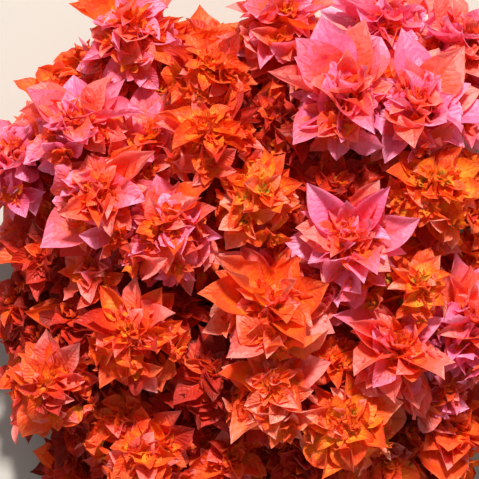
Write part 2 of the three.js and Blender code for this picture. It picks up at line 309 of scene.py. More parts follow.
def stalk_curve(bloom, limbs):
    below = bloom["centre"] - bloom["face"] * STALK["below"]
    feet = np.concatenate([limb.at(STALK_FEET) for limb in limbs])
    aheads = np.concatenate([limb.tangents(STALK_FEET) for limb in limbs])
    best = int(np.argmin(np.linalg.norm(feet - below, axis=1)))
    span = np.linalg.norm(feet[best] - bloom["centre"])
    leave = feet[best] + aheads[best] * STALK["leave"] * span
    arrive = bloom["centre"] - bloom["face"] * STALK["arrive"] * span
    arrive[2] = max(arrive[2], STALK["lowest"])
    return Curve([feet[best], leave, arrive, bloom["centre"]])


# Places along a limb with its radius there, as rows of x, y, z, radius.
def rods_along(curve, size):
    count = math.ceil(curve.length / ROD_STEP)
    shares = np.arange(count + 1) / count
    radii = mix((size["foot"], size["head"]), shares)
    return np.column_stack([curve.at(shares), radii])


# The kite that stands for a bract in the solids: its point at a share and a side.
def kite_point(bract, share, side):
    angle = bract["pitch"] + bract["bend"] * share
    out = bract["length"] * (math.cos(bract["pitch"]) - math.cos(angle)) / bract["bend"]
    rise = bract["length"] * (math.sin(angle) - math.sin(bract["pitch"])) / bract["bend"]
    face, radial = bract["face"], bract["radial"]
    upper = face * math.sin(angle) - radial * math.cos(angle)
    across = np.cross(face, radial) * math.cos(bract["twist"]) + upper * math.sin(bract["twist"])
    outline = min(share / BRACT["widest"], (1 - share) / (1 - BRACT["widest"]))
    half = bract["length"] * bract["broad"] * outline / 2
    place = bract["seat"] + radial * out + face * rise
    return place + across * half * side + upper * BRACT["fold"] * half * abs(side)


KITE_SAMPLES = [(0, 0), (1, 0)] + [
    (share, side) for share in (BRACT["widest"], (1 + BRACT["widest"]) / 2) for side in (-1, 0, 1)
]


# Whether a bract stays over the floor, within its bloom's space and clear of the limbs.
def has_room(bract, bloom, slack, limb_gap):
    points = np.array([kite_point(bract, share, side) for share, side in KITE_SAMPLES])
    if points[:, 2].min() <= FLOOR_GAP:
        return False
    if ((points - bloom["centre"]) @ bloom["ways"].T >= bloom["reaches"] + slack).any():
        return False
    apart = np.linalg.norm(points[:, None] - bloom["rods"][None, :, :3], axis=2)
    return bool((apart > bloom["rods"][:, 3] + limb_gap).all())


def cut_to_room(bract, bloom, slack=0.0, limb_gap=LIMB_GAP):
    for _ in range(CUT_BACK["tries"]):
        if has_room(bract, bloom, slack, limb_gap):
            return bract
        bract["length"] *= CUT_BACK["length"]
        bract["pitch"] *= CUT_BACK["pitch"]
    return None


# A bract on an axis, with its pitch and bend given in degrees.
def new_bract(face, radial, pitch, bend, **form):
    angles = {"pitch": math.radians(pitch), "bend": math.radians(bend) or LEAST_BEND}
    return {"face": face, "radial": radial, **angles, **form}


# One of a bloom's twelve leading bracts, exactly as in the solids.
def leading_bract(bloom, index):
    draw, face = bloom["draw"], bloom["face"]

    def chance(spread):
        return (next(draw) - 0.5) * spread

    whorl = index // IN_WHORL
    inward = whorl / (WHORLS - 1)
    degrees = whorl * BRACT["whorl_turn"] + index * BRACT["apart"]
    radial = sideways(face, bloom["turn"] + math.radians(degrees) + chance(SPREAD["turn"]))
    pitch = mix(BRACT["pitch"], inward ** BRACT["pitch_ease"])
    shrink = mix(BRACT["shrink"], inward ** BRACT["shrink_ease"])
    bract = new_bract(
        face,
        radial,
        pitch=pitch + chance(SPREAD["pitch"]),
        bend=mix(BRACT["bend"], inward) + chance(SPREAD["bend"]),
        twist=chance(SPREAD["twist"]),
        length=bloom["length"] * shrink * (1 + chance(SPREAD["length"])),
        seat=bloom["centre"] + face * mix(BRACT["seat"], inward) + radial * BRACT["seat_radius"],
        broad=BRACT["broad"],
        inward=inward,
        kind="leading",
    )
    return cut_to_room(bract, bloom)


# Further bracts that the solids leave out, by kind: how many, and from the first to the last of
# them the pitch and bend in degrees, the length as a share of the bloom's, the seat along the
# bloom's axis, the width over the length, and how far they may reach past the bloom's own space.
FURTHER = {
    "skirt": {
        "count": 11, "pitch": (124, 96), "bend": (10, 24), "length": (0.92, 0.96),
        "seat": (-20, -12), "broad": (0.8, 0.8), "slack": 3.0,
    },
    "between": {
        "count": 9, "pitch": (92, 50), "bend": (30, -14), "length": (0.9, 0.66),
        "seat": (-8, 2), "broad": (0.74, 0.66), "slack": 2.0,
    },
}
FURTHER_STRAY = {"turn": 0.25, "pitch": 8, "bend": 16, "twist": 0.3, "length": (0.86, 1.08)}
FURTHER_SEAT = 0.6  # their seats' radius over the leading bracts' one


def further_bracts(bloom, kind, dice):
    rule, stray = FURTHER[kind], FURTHER_STRAY
    face = bloom["face"]
    found = []
    for i in range(rule["count"]):
        inward = i / (rule["count"] - 1)
        radial = sideways(face, bloom["turn"] + i * GOLDEN_TURN + either_way(dice, stray["turn"]))
        bend = mix(rule["bend"], inward) + either_way(dice, stray["bend"])
        pitch = mix(rule["pitch"], inward) + either_way(dice, stray["pitch"])
        seat = bloom["centre"] + face * mix(rule["seat"], inward)
        bract = new_bract(
            face,
            radial,
            pitch,
            bend,
            twist=either_way(dice, stray["twist"]),
            length=bloom["length"] * mix(rule["length"], inward) * dice.uniform(*stray["length"]),
            seat=seat + radial * BRACT["seat_radius"] * FURTHER_SEAT,
            broad=mix(rule["broad"], inward),
            inward=inward,
            kind=kind,
        )
        if cut_to_room(bract, bloom, rule["slack"], FINE_LIMB_GAP):
            found.append(bract)
    return found


# The direction square to a bloom's axis that turns most to the sun.
def sunward_of(face):
    return unit(SUN - face * (face @ SUN))


# Long bracts that stand up behind the florets, fanned out on the bloom's sunny side.
CROWN = {
    "count": 6, "fan": 78, "fan_stray": 14, "pitch": (44, 80), "bend": (-16, 26), "twist": 0.5,
    "length": {"large": (0.78, 1.02), "clustered": (0.6, 0.84)},
    "seat": (-4, 6), "broad": 0.7, "inward": (0.2, 0.9), "slack": 5.0,
}


def crown_bracts(bloom, dice):
    face = bloom["face"]
    sunny = sunward_of(face)
    found = []
    for i in range(CROWN["count"]):
        place_in_fan = 2 * i / (CROWN["count"] - 1) - 1
        fan = math.radians(CROWN["fan"] * place_in_fan + either_way(dice, CROWN["fan_stray"]))
        radial = sunny * math.cos(fan) + np.cross(face, sunny) * math.sin(fan)
        bract = new_bract(
            face,
            radial,
            pitch=dice.uniform(*CROWN["pitch"]),
            bend=dice.uniform(*CROWN["bend"]),
            twist=either_way(dice, CROWN["twist"]),
            length=bloom["length"] * dice.uniform(*CROWN["length"][bloom["style"]]),
            seat=bloom["centre"] + face * dice.uniform(*CROWN["seat"]) + radial * BRACT["seat_radius"],
            broad=CROWN["broad"],
            inward=dice.uniform(*CROWN["inward"]),
            kind="crown",
        )
        if cut_to_room(bract, bloom, CROWN["slack"], FINE_LIMB_GAP):
            found.append(bract)
    return found


# The florets of a bloom by its style, from the middle one to the outermost: how many there are, how
# far each leans from the bloom's axis in degrees, its place off that axis and along it, and its size.
FLORETS = {
    "large": {"count": 8, "lean": (8, 74), "out": (1, 15), "up": (9, -5), "size": 1},
    "clustered": {"count": 10, "lean": (6, 84), "out": (2, 19), "up": (12, -7), "size": 0.98},
    "under": {"count": 4, "lean": (8, 50), "out": (1, 9), "up": (9, 2), "size": 1.05},
}
FLORET_EASE = 0.8  # power of a floret's share, so that the leans open early
FLORET_STRAY = {"lean": 10, "aside": 0.4, "size": (0.78, 1.12)}
FLORET_SHADED = 4  # how far they all lie towards the bloom's shaded side
FLORET_RADIUS = 1.2
FLORET_SLACK = 3.0
FLORET_ALIKE = 0.75  # share of a floret's petals that are of one colour
# A floret's whorls, from its three outer bracts to the crumpled ones in its middle.
FLORET_WHORLS = [
    {"kind": "petal", "count": 3, "pitch": 80, "bend": 18, "length": 0.57, "seat": -2, "broad": 0.76},
    {"kind": "petal", "count": 3, "pitch": 56, "bend": 4, "length": 0.42, "seat": 0, "broad": 0.74},
    {"kind": "crumb", "count": 5, "pitch": 48, "bend": -20, "length": 0.26, "seat": 1, "broad": 0.74},
    {"kind": "crumb", "count": 4, "pitch": 24, "bend": -10, "length": 0.18, "seat": 2, "broad": 0.7},
]
FLORET_INWARD = [0.4, 0.6, 0.8, 1.0]
WHORL_STRAY = {"turn": 0.25, "pitch": 14, "bend": 20, "twist": 0.4, "length": (0.8, 1.15)}


# The bracts of one floret, which grows from its foot along its own axis.
def one_floret(bloom, face, foot, dice):
    size = bloom["length"] * FLORETS[bloom["style"]]["size"] * dice.uniform(*FLORET_STRAY["size"])
    start = dice.uniform(0, FULL_TURN)
    choices = BLENDS[bloom["blend"]][OUTER]
    ramp = choices[int(dice.integers(len(choices)))]
    found = []
    for j, whorl in enumerate(FLORET_WHORLS):
        whorl_start = start + math.radians(j * BRACT["whorl_turn"])
        for k in range(whorl["count"]):
            turn = whorl_start + FULL_TURN * k / whorl["count"] + either_way(dice, WHORL_STRAY["turn"])
            radial = sideways(face, turn)
            bract = new_bract(
                face,
                radial,
                pitch=whorl["pitch"] + either_way(dice, WHORL_STRAY["pitch"]),
                bend=whorl["bend"] + either_way(dice, WHORL_STRAY["bend"]),
                twist=either_way(dice, WHORL_STRAY["twist"]),
                length=size * whorl["length"] * dice.uniform(*WHORL_STRAY["length"]),
                seat=foot + face * whorl["seat"] + radial * FLORET_RADIUS,
                broad=whorl["broad"],
                inward=FLORET_INWARD[j],
                kind=whorl["kind"],
            )
            if whorl["kind"] == "petal" and dice.uniform() < FLORET_ALIKE:
                bract["ramp"] = ramp
            if cut_to_room(bract, bloom, FLORET_SLACK, FINE_LIMB_GAP):
                found.append(bract)
    return found


def floret_bracts(bloom, dice):
    rule, axis = FLORETS[bloom["style"]], bloom["face"]
    found = []
    for i in range(rule["count"]):
        outward = i / (rule["count"] - 1)
        degrees = mix(rule["lean"], outward**FLORET_EASE) + either_way(dice, FLORET_STRAY["lean"])
        lean = math.radians(degrees)
        aside = sideways(axis, bloom["turn"] + i * GOLDEN_TURN + either_way(dice, FLORET_STRAY["aside"]))
        face = axis * math.cos(lean) + aside * math.sin(lean)
        foot = bloom["centre"] + axis * mix(rule["up"], outward) + aside * mix(rule["out"], outward)
        foot -= sunward_of(axis) * FLORET_SHADED
        found += one_floret(bloom, face, foot, dice)
    return found


# A bract's half width over its greatest one: ovate, round-shouldered, drawn out to a fine point.
OUTLINE = {"widest": 0.42, "base": 0.7, "tip": 1.2, "shoulder": 1.4, "stub": 0.06, "point": 0.012}
RUFFLE_LEAD = 1.3  # radians by which a ruffle runs ahead on one edge and behind on the other


def ovate(share):
    below = np.sin(np.clip(share / OUTLINE["widest"], 0, 1) * math.pi / 2) ** OUTLINE["base"]
    past = np.clip((share - OUTLINE["widest"]) / (1 - OUTLINE["widest"]), 0, 1)
    above = (1 - past) ** OUTLINE["tip"] * (1 + OUTLINE["shoulder"] * past)
    return np.maximum(below * above, mix((OUTLINE["stub"], OUTLINE["point"]), share))


# The fine surface of a bract, as a grid of rows along it by columns across it.
def bract_grid(bract, rows, columns):
    shares = np.linspace(0, 1, rows + 1)
    sides = np.linspace(-1, 1, columns + 1)
    face, radial = bract["face"], bract["radial"]
    angles = bract["pitch"] + bract["bend"] * shares + bract["curl"] * shares**3
    middles = (angles[1:] + angles[:-1]) / 2
    step = bract["length"] / rows
    ahead = np.sin(middles)[:, None] * radial + np.cos(middles)[:, None] * face
    spine = bract["seat"] + np.concatenate([np.zeros((1, 3)), np.cumsum(ahead * step, axis=0)])
    upper = np.sin(angles)[:, None] * face - np.cos(angles)[:, None] * radial
    level = np.cross(face, radial)
    twists = bract["twist"] + bract["wring"] * shares
    across = np.cos(twists)[:, None] * level + np.sin(twists)[:, None] * upper
    above = np.cos(twists)[:, None] * upper - np.sin(twists)[:, None] * level
    half = bract["length"] * bract["broad"] / 2 * ovate(shares)
    cup = bract["cup"]
    wide = np.sin(cup * sides) / cup
    deep = (1 - np.cos(cup * sides)) / cup
    wave = np.sin(FULL_TURN * (bract["waves"] * shares[:, None] + bract["phase"]) + RUFFLE_LEAD * sides)
    ruffle = bract["ruffle"] * sides**2 * wave
    crease = bract["crease"] * np.abs(sides)
    lift = half[:, None] * (deep + crease + ruffle)
    grid = spine[:, None] + across[:, None] * (half[:, None] * wide)[..., None]
    return grid + above[:, None] * lift[..., None]


# How far a bract strays from the plain blade, by kind: curl along it in degrees, wring, ruffle, and
# its width over the rule's.
STRAYS = {
    "leading": ((-30, 54), 0.55, (0.06, 0.24), (0.64, 0.86)),
    "skirt": ((-20, 40), 0.4, (0.04, 0.2), (0.8, 1)),
    "between": ((-36, 60), 0.6, (0.06, 0.26), (0.8, 1)),
    "crown": ((-30, 40), 0.5, (0.05, 0.2), (0.8, 1.05)),
    "spray": ((-30, 50), 0.5, (0.05, 0.22), (0.8, 1)),
    "petal": ((-44, 72), 0.7, (0.08, 0.32), (0.78, 1.05)),
    "crumb": ((-80, 96), 0.9, (0.2, 0.5), (0.7, 1.1)),
}
# What all kinds share: how far the sides close up, in radians, with the odds of each, then the fold
# along the midrib and the number of waves along the edge.
CUPS = (0.25, 0.5, 0.85, 1.3, 1.7)
CUP_ODDS = (0.16, 0.3, 0.28, 0.18, 0.08)
CREASE = (0.02, 0.24)
WAVES = (1.1, 2.6)


# The form that a bract takes by chance, on top of the rule.
def shape_by_chance(bract, dice):
    curl, wring, ruffle, width = STRAYS[bract["kind"]]
    bract["curl"] = math.radians(dice.uniform(*curl))
    bract["wring"] = either_way(dice, wring)
    bract["cup"] = dice.choice(CUPS, p=CUP_ODDS)
    bract["crease"] = dice.uniform(*CREASE)
    bract["ruffle"] = dice.uniform(*ruffle)
    bract["waves"] = dice.uniform(*WAVES)
    bract["phase"] = dice.uniform(0, 1)
    bract["broad"] *= dice.uniform(*width)
    return bract


# The bract's grid once it clears the floor, with the bract cut back and raised as it needs.
def grid_over_floor(bract, rows, columns):
    for _ in range(CUT_BACK["tries"]):
        grid = bract_grid(bract, rows, columns)
        if grid[..., 2].min() > FLOOR_GAP:
            return grid
        for key in ("length", "pitch", "curl"):
            bract[key] *= CUT_BACK[key]
    return None


# Plain colours as seen, from a bract's foot to its tip.
RAMPS = {
    "rose": ["#f2587a", "#f26690", "#f474a4", "#f686b4", "#f8a0c6"],
    "pink": ["#f45e34", "#f26050", "#f26674", "#f47898", "#f794ba"],
    "coral": ["#f76a24", "#f45a30", "#f4604a", "#f57066", "#f78c88"],
    "salmon": ["#f99426", "#f8782a", "#f66a38", "#f57a58", "#f89a88"],
    "orange": ["#fa9a28", "#f8781a", "#f45c18", "#ee4c1e", "#f26634"],
    "amber": ["#f8b036", "#f89826", "#f7801e", "#f2661c", "#f05626"],
    # The shade ramp is painted shade and the deep ramp partly so: dark reds for bracts that lie low, under
    # the blooms and in the hollows between them.
    "deep": ["#e25014", "#da3e12", "#ce3014", "#c22a18", "#c8382e"],
    "shade": ["#b6380e", "#a82c0e", "#982012", "#8c2016", "#90281e"],
    "yellow": ["#a39c2e", "#d4a428", "#f09c22", "#f48628", "#f2702e"],
}
# Which ramps a bloom's bracts draw from, in four rows: the lowest ones, the outer ones, the inner
# ones and the crumpled ones in its florets.
# The lowest row's deep and shade ramps are painted shade under each bloom, and the deep blend puts painted
# shade on the blooms and rosettes that take it.
BLENDS = {
    "pink": (("deep", "coral"), ("rose", "pink", "rose", "coral"), ("pink", "coral"), ("orange", "coral")),
    "coral": (("deep", "coral"), ("coral", "pink"), ("coral", "orange"), ("orange", "amber")),
    "salmon": (("deep", "coral"), ("salmon", "salmon", "coral"), ("salmon", "orange"), ("orange", "amber")),
    "orange": (("deep", "shade"), ("orange", "orange", "coral"), ("orange", "deep"), ("amber", "orange")),
    "amber": (("deep", "orange"), ("orange", "amber", "salmon"), ("amber", "orange"), ("yellow", "amber")),
    "deep": (("shade", "shade"), ("deep", "deep", "shade"), ("deep", "orange"), ("orange", "deep")),
}
LOWEST, OUTER, INNER, CRUMPLED = range(4)
BLEND_OF_KIND = {"skirt": LOWEST, "spray": LOWEST, "crumb": CRUMPLED}
INNER_FROM = 0.6
STEPS = 5
# How a bract's colours stray along its ramp: later at the edges, with streaks, specks and a shift.
RAMP_STRAY = {"edge": 0.16, "streak": 0.06, "speck": 0.02, "shift": 0.2}


# The opaque colour that a code stands for, as linear light.
def linear(code):
    channels = [int(code[i : i + 2], 16) / 255 for i in (1, 3, 5)]
    return [c / 12.92 if c <= 0.04045 else ((c + 0.055) / 1.055) ** 2.4 for c in channels] + [1]


def new_material(name):
    material = bpy.data.materials.new(name)
    material.use_nodes = True
    tree = material.node_tree
    tree.nodes.clear()
    return material, tree


# A new node, with each socket that is given set to a value or linked to another node's output.
def node(tree, kind, sockets=None, **settings):
    made = tree.nodes.new(kind)
    for key, value in settings.items():
        setattr(made, key, value)
    for key, value in (sockets or {}).items():
        if isinstance(value, bpy.types.NodeSocket):
            tree.links.new(value, made.inputs[key])
        else:
            made.inputs[key].default_value = value
    return made


def show(tree, shader):
    node(tree, "ShaderNodeOutputMaterial", {"Surface": shader.outputs[0]})


def noise(tree, scale, detail):
    spot = node(tree, "ShaderNodeTexCoord").outputs["Object"]
    made = node(tree, "ShaderNodeTexNoise", {"Vector": spot, "Scale": scale, "Detail": detail})
    return made.outputs["Fac"]


def bump(tree, height, relief):
    sockets = {"Strength": relief["strength"], "Distance": relief["depth"], "Height": height}
    return node(tree, "ShaderNodeBump", sockets).outputs["Normal"]


# The relief of a papery blade: how far its side veins sweep forward and wander, how close they lie
# and how sharp and high they stand, how narrow its midrib is, and its crinkles. Depth is in metres.
# A noise is given by its scale and its detail.
WANDER_NOISE = (110.0, 2.0)
CRINKLE_NOISE = (420.0, 3.0)
VEINS = {
    "sweep": 0.55, "wander": 0.22, "close": 30.0, "sharp": 0.5, "high": 0.5, "rib": 12.0,
    "crinkle": 0.9, "strength": 0.65, "depth": 0.0008,
}


def vein_bump(tree):
    def reckon(operation, first, second=0.0):
        return node(tree, "ShaderNodeMath", {0: first, 1: second}, operation=operation).outputs[0]

    place = node(tree, "ShaderNodeUVMap", uv_map="blade")
    split = node(tree, "ShaderNodeSeparateXYZ", {0: place.outputs["UV"]})
    side = reckon("ABSOLUTE", reckon("SUBTRACT", split.outputs["Y"], 0.5))
    sweep = reckon("SUBTRACT", split.outputs["X"], reckon("MULTIPLY", side, VEINS["sweep"]))
    drift = noise(tree, *WANDER_NOISE)
    strayed = reckon("ADD", sweep, reckon("MULTIPLY", drift, VEINS["wander"]))
    wave = reckon("SINE", reckon("MULTIPLY", strayed, VEINS["close"]))
    vein = reckon("MULTIPLY", reckon("POWER", reckon("ABSOLUTE", wave), VEINS["sharp"]), VEINS["high"])
    rib = reckon("MINIMUM", reckon("MULTIPLY", side, VEINS["rib"]), 1.0)
    crinkle = noise(tree, *CRINKLE_NOISE)
    grain = reckon("MULTIPLY", crinkle, VEINS["crinkle"])
    return bump(tree, reckon("ADD", reckon("ADD", vein, rib), grain), VEINS)


# A thin blade that some light shows through: what all blades share, then the bracts' values.
BLADE = {"Specular IOR Level": 0.35, "Sheen Weight": 0.05, "Sheen Roughness": 0.5}
BRACT_BLADE = {"through": 0.46, "roughness": 0.5}


def blade_material(name, code, through, roughness):
    material, tree = new_material(name)
    colour = linear(code)
    sockets = {"Base Color": colour, "Roughness": roughness, "Normal": vein_bump(tree), **BLADE}
    surface = node(tree, "ShaderNodeBsdfPrincipled", sockets).outputs[0]
    glow = node(tree, "ShaderNodeBsdfTranslucent", {"Color": colour}).outputs[0]
    show(tree, node(tree, "ShaderNodeMixShader", {"Fac": through, 1: surface, 2: glow}))
    return material


def new_object(name, data):
    made = bpy.data.objects.new(name, data)
    bpy.context.scene.collection.objects.link(made)
    return made


# Meshes are gathered as grids, and each grid's faces get their own material numbers.
class Gather:
    def __init__(self, name, materials):
        self.name = name
        self.materials = materials
        self.places, self.faces, self.looks, self.blade = [], [], [], []
        self.count = 0

    def add_grid(self, grid, looks):
        rows, columns = grid.shape[0] - 1, grid.shape[1] - 1
        self.places.append(grid.reshape(-1, 3))
        first = np.arange(rows)[:, None] * (columns + 1) + np.arange(columns)[None]
        quads = np.stack([first, first + columns + 1, first + columns + 2, first + 1], axis=-1)
        self.faces.append(quads.reshape(-1, 4) + self.count)
        self.looks.append(np.broadcast_to(looks, (rows, columns)).reshape(-1))
        ends = (np.linspace(0, 1, rows + 1), np.linspace(0, 1, columns + 1))
        self.blade.append(np.stack(np.meshgrid(*ends, indexing="ij"), axis=-1).reshape(-1, 2))
        self.count += grid.shape[0] * grid.shape[1]

    def quads(self):
        return sum(len(faces) for faces in self.faces)

    def finish(self, slot, replaced=()):
        places = (np.concatenate(self.places) - MIDDLE) * MILLIMETRE
        faces = np.concatenate(self.faces)
        mesh = bpy.data.meshes.new(self.name)
        mesh.from_pydata(places.tolist(), [], faces.tolist())
        mesh.polygons.foreach_set("material_index", np.concatenate(self.looks).astype(np.int32))
        mesh.polygons.foreach_set("use_smooth", np.ones(len(faces), bool))
        layer = mesh.uv_layers.new(name="blade")
        blade = np.concatenate(self.blade)
        layer.data.foreach_set("uv", blade[faces.reshape(-1)].astype(np.float32).reshape(-1))
        for material in self.materials:
            mesh.materials.append(material)
        mesh.validate()
        mesh.update()
        piece = new_object(self.name, mesh)
        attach(piece, "root")
        if replaced:
            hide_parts(*replaced)


# The faces' steps along a ramp: from foot to tip, later at the edges, with some chance.
def ramp_steps(rows, columns, shift, dice):
    along = (np.arange(rows) + 0.5) / rows
    side = np.abs((np.arange(columns) + 0.5) / columns * 2 - 1)
    streak, speck = RAMP_STRAY["streak"], RAMP_STRAY["speck"]
    streaks = dice.uniform(-streak, streak, (1, columns))
    specks = dice.uniform(-speck, speck, (rows, columns))
    value = along[:, None] + RAMP_STRAY["edge"] * (side[None] - 0.5) + shift + streaks + specks
    return np.clip((value * STEPS).astype(int), 0, STEPS - 1)


# Rows and columns of a bract's grid, by kind.
GRIDS = {
    "leading": (20, 10), "skirt": (8, 5), "between": (10, 6), "spray": (7, 4),
    "crown": (18, 9), "petal": (7, 5), "crumb": (5, 3),
}


def blend_row(bract):
    return BLEND_OF_KIND.get(bract["kind"], OUTER if bract["inward"] < INNER_FROM else INNER)


# Small side sprays of bracts on a bloom's stalk, which close the mass under the blooms.
SPRAY = {
    "shares": (0.34, 0.52, 0.68, 0.82), "ahead": 0.5, "up": 0.8, "seat": 5,
    "count": 7, "turn": 0.3, "pitch": (105, 45), "pitch_stray": 10, "bend": (-20, 30), "twist": 0.4,
    "length": (17, 28), "shrink": 0.35, "broad": 0.72, "tip_gap": 2,
}


def spray_bracts(bloom, dice):
    found = []
    for share in SPRAY["shares"]:
        foot = bloom["stalk"].at(share)[0]
        way = bloom["stalk"].tangents(share)[0]
        aside = sideways(way, dice.uniform(0, FULL_TURN))
        face = unit(aside + way * SPRAY["ahead"] + UP * SPRAY["up"])
        seat = foot + face * SPRAY["seat"]
        size = dice.uniform(*SPRAY["length"])
        for i in range(SPRAY["count"]):
            inward = i / (SPRAY["count"] - 1)
            radial = sideways(face, i * GOLDEN_TURN + either_way(dice, SPRAY["turn"]))
            pitch = mix(SPRAY["pitch"], inward) + either_way(dice, SPRAY["pitch_stray"])
            bract = new_bract(
                face,
                radial,
                pitch,
                bend=dice.uniform(*SPRAY["bend"]),
                twist=either_way(dice, SPRAY["twist"]),
                length=size * (1 - SPRAY["shrink"] * inward),
                seat=seat,
                broad=SPRAY["broad"],
                inward=inward,
                kind="spray",
            )
            tip = kite_point(bract, 1, 0)
            if tip[2] > FLOOR_GAP + SPRAY["tip_gap"]:
                found.append(bract)
    return found


CLUSTER_WHORLS = 3  # a clustered bloom's innermost whorl gives way to its florets


def all_bracts(bloom, dice):
    found = []
    if bloom["style"] != "under":
        whorls = WHORLS if bloom["style"] == "large" else CLUSTER_WHORLS
        grown = [leading_bract(bloom, index) for index in range(IN_WHORL * whorls)]
        found += [bract for bract in grown if bract]
        found += spray_bracts(bloom, dice)
    found += further_bracts(bloom, "skirt", dice)
    if bloom["style"] == "large":
        found += further_bracts(bloom, "between", dice)
    if bloom["style"] != "under":
        found += crown_bracts(bloom, dice)
    found += floret_bracts(bloom, dice)
    return [shape_by_chance(bract, dice) for bract in found]


# Lesser rosettes under and between the blooms, which close the mass as seen from above. They lie
# deepest under the dome's top, and in spreading them heights count for less than the plan.
UNDER = {"count": 64, "drop": (4, 27), "length": 29, "flat": 0.35, "lowest": 24}
# Lesser rosettes that stand higher, where the photo shows lit bracts in a valley between blooms.
RAISED = [("coral", -74, -4), ("coral", 104, -66), ("pink", 44, -14)]
RAISED_DROP = 4


# A lesser rosette that is sunk below a spot of the dome.
def rosette_at(spot, drop, seed):
    draw = draws(seed)
    face = dome_face(*spot[:2], draw)
    return {
        "face": face,
        "centre": spot - face * drop,
        "turn": next(draw) * FULL_TURN,
        "length": UNDER["length"],
        "style": "under",
    }


def raised_rosettes():
    found = []
    for i, (tone, x, y) in enumerate(RAISED):
        made = rosette_at(dome_place(x, y), RAISED_DROP, SEEDS["raised"] + i)
        found.append({**made, "tone": tone, "blend": tone})
    return found


# The rosettes under the blooms, each as far from all others as can be, in the tone that a filling
# bloom takes beside the nearest leading one.
def place_under(blooms):
    tried = []
    for i, spot in enumerate(dome_spots()):
        made = rosette_at(spot, mix(UNDER["drop"], dome_cap(*spot[:2])), SEEDS["under"] + i)
        if made["centre"][2] > UNDER["lowest"]:
            tried.append(made)
    squash = np.array([1, 1, UNDER["flat"]])
    centres = np.array([made["centre"] for made in tried])
    taken = [bloom["centre"] for bloom in blooms]
    leading = np.array(taken[: len(LEADERS)])
    found = []
    for _ in range(UNDER["count"]):
        apart = np.linalg.norm((centres[:, None] - np.array(taken)[None]) * squash, axis=2)
        best = int(np.argmax(apart.min(axis=1)))
        nearest = blooms[int(np.argmin(np.linalg.norm(centres[best] - leading, axis=1)))]
        # The filling tone is deeper than the leading bloom's: partly painted shade on these low rosettes.
        tone = FILLER_TONES.get(nearest["blend"], LAST_TONE)
        found.append({**tried[best], "tone": tone, "blend": tone})
        taken.append(centres[best])
    return found


# Adds a bloom's bracts, with the faces of each along a ramp of its blend.
def add_bloom(gather, bloom, dice):
    ramp_names = list(RAMPS)
    for bract in all_bracts(bloom, dice):
        choices = BLENDS[bloom["blend"]][blend_row(bract)]
        ramp = bract.get("ramp", choices[int(dice.integers(len(choices)))])
        rows, columns = GRIDS[bract["kind"]]
        shift = either_way(dice, RAMP_STRAY["shift"])
        steps = ramp_steps(rows, columns, shift, dice)
        grid = grid_over_floor(bract, rows, columns)
        if grid is not None:
            gather.add_grid(grid, ramp_names.index(ramp) * STEPS + steps)


PIECE_QUADS = 70000  # past this many faces the blooms of a tone go on in another piece


def make_blooms(blooms):
    materials = [
        blade_material(f"bract_{ramp}_{step + 1}", code, **BRACT_BLADE)
        for ramp, codes in RAMPS.items()
        for step, code in enumerate(codes)
    ]
    for tone in BLENDS:
        gather, stood_for, pieces = None, [], 0
        for number, bloom in enumerate(blooms):
            if bloom["tone"] != tone:
                continue
            if gather is None:
                pieces += 1
                gather, stood_for = Gather(f"bracts_{tone}_{pieces}", materials), []
            add_bloom(gather, bloom, np.random.default_rng(SEEDS["blooms"] + number))
            if "name" in bloom:
                stood_for.append(f"bloom_{bloom['name']}")
            if gather.quads() > PIECE_QUADS:
                gather.finish(f"bract_{tone}", stood_for)
                gather = None
        if gather is not None:
            gather.finish(f"bract_{tone}", stood_for)


# Rings round a curve, as a closed grid, with a radius for each share and turn.
def tube_grid(curve, radius_at, rings, sides, cut_x=None):
    shares = np.linspace(0, 1, rings + 1)
    places = curve.at(shares)
    ahead = curve.tangents(shares)
    level = np.cross(ahead, UP)
    level /= np.linalg.norm(level, axis=1)[:, None]
    above = np.cross(level, ahead)
    turns = np.linspace(0, FULL_TURN, sides + 1)
    radii = radius_at(shares[:, None], turns[None])
    radii[:, -1] = radii[:, 0]
    ring = np.cos(turns)[None, :, None] * level[:, None] + np.sin(turns)[None, :, None] * above[:, None]
    grid = places[:, None] + ring * radii[..., None]
    if cut_x is not None:
        way = ahead[0]
        grid[0] += way * ((cut_x - grid[0][:, 0]) / way[0])[:, None]
    grid[..., 2] = np.maximum(grid[..., 2], FLOOR_GAP)
    return grid


# Bark's relief as shares of a limb's radius: long low ridges that wind, knuckles where leaves once
# sat, fine roughness, and a collar where a bough forks off. Lengths along the limb are millimetres.
BARK = {
    "level": 0.97, "rough": 0.012, "collar_along": 6, "collar_high": 0.35,
    "ridge_sets": 3, "ridges": (5, 9), "ridge_high": 0.018, "wind": 3, "wind_along": 17,
    "knuckle_each": 24, "knuckle_least": 2, "knuckle_shares": (0.05, 0.95),
    "knuckle_along": 2.6, "knuckle_high": 0.1,
}


def bark_radius(size, length, dice, collar=0.0):
    sets = BARK["ridge_sets"]
    ridges = dice.integers(*BARK["ridges"], sets)
    phases = dice.uniform(0, FULL_TURN, (sets, 2))
    knuckle_count = max(BARK["knuckle_least"], int(length / BARK["knuckle_each"]))
    knuckles = dice.uniform(*BARK["knuckle_shares"], knuckle_count)

    def swell_at(shares, knuckle):
        return np.exp(-(((shares - knuckle) * length / BARK["knuckle_along"]) ** 2))

    def radius(shares, turns):
        along = shares * length
        winds = [BARK["wind"] * np.sin(along / BARK["wind_along"] + phases[i, 1]) for i in range(sets)]
        relief = sum(np.sin(ridges[i] * turns + phases[i, 0] + winds[i]) for i in range(sets))
        swell = sum(swell_at(shares, knuckle) for knuckle in knuckles)
        rough = dice.normal(0, BARK["rough"], np.broadcast(shares, turns).shape)
        fork = collar * np.exp(-((along / BARK["collar_along"]) ** 2))
        ridged = BARK["level"] + BARK["ridge_high"] * relief + BARK["knuckle_high"] * swell
        return mix((size["foot"], size["head"]), shares) * (ridged + rough + fork)

    return radius


BARK_NOISE = (900.0, 5.0)
BARK_GRAIN = {"strength": 0.6, "depth": 0.0006}
BARK_SURFACE = {"Roughness": 0.85, "Specular IOR Level": 0.25}


